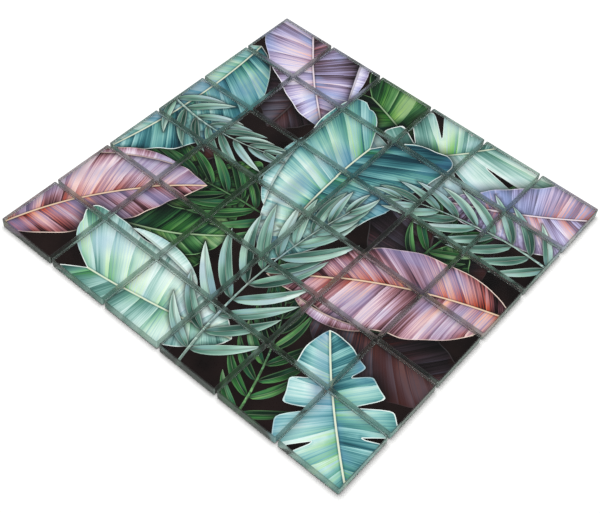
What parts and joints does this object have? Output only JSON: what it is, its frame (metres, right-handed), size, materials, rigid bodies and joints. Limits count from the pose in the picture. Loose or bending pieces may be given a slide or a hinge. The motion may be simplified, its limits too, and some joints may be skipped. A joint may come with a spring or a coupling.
{
  "type": "glass mosaic tile sheet",
  "caption": "Square sheet of clear glass mosaic tiles, back-printed with tropical leaves, held at narrow joints on a glass-fibre net.",
  "frame": {"origin": "middle of the net's underside, where the sheet meets its adhesive bed", "axes": "+Z out of the polished face; +X along a row, from column 1 to column 6; +Y along a column, from row 1 to row 6"},
  "size_m": [0.298, 0.298, 0.008],
  "materials": {
    "printed_glass": "clear glass with a polished face and ground sides, printed on the back",
    "net": "open-weave glass-fibre net, coated and matt"
  },
  "bodies": {
    "root": {"net_backing": "net", "tile_r1_c1": "printed_glass", "tile_r1_c2": "printed_glass", "tile_r1_c3": "printed_glass", "tile_r1_c4": "printed_glass", "tile_r1_c5": "printed_glass", "tile_r1_c6": "printed_glass", "tile_r2_c1": "printed_glass", "tile_r2_c2": "printed_glass", "tile_r2_c3": "printed_glass", "tile_r2_c4": "printed_glass", "tile_r2_c5": "printed_glass", "tile_r2_c6": "printed_glass", "tile_r3_c1": "printed_glass", "tile_r3_c2": "printed_glass", "tile_r3_c3": "printed_glass", "tile_r3_c4": "printed_glass", "tile_r3_c5": "printed_glass", "tile_r3_c6": "printed_glass", "tile_r4_c1": "printed_glass", "tile_r4_c2": "printed_glass", "tile_r4_c3": "printed_glass", "tile_r4_c4": "printed_glass", "tile_r4_c5": "printed_glass", "tile_r4_c6": "printed_glass", "tile_r5_c1": "printed_glass", "tile_r5_c2": "printed_glass", "tile_r5_c3": "printed_glass", "tile_r5_c4": "printed_glass", "tile_r5_c5": "printed_glass", "tile_r5_c6": "printed_glass", "tile_r6_c1": "printed_glass", "tile_r6_c2": "printed_glass", "tile_r6_c3": "printed_glass", "tile_r6_c4": "printed_glass", "tile_r6_c5": "printed_glass", "tile_r6_c6": "printed_glass"}
  },
  "joints": []
}
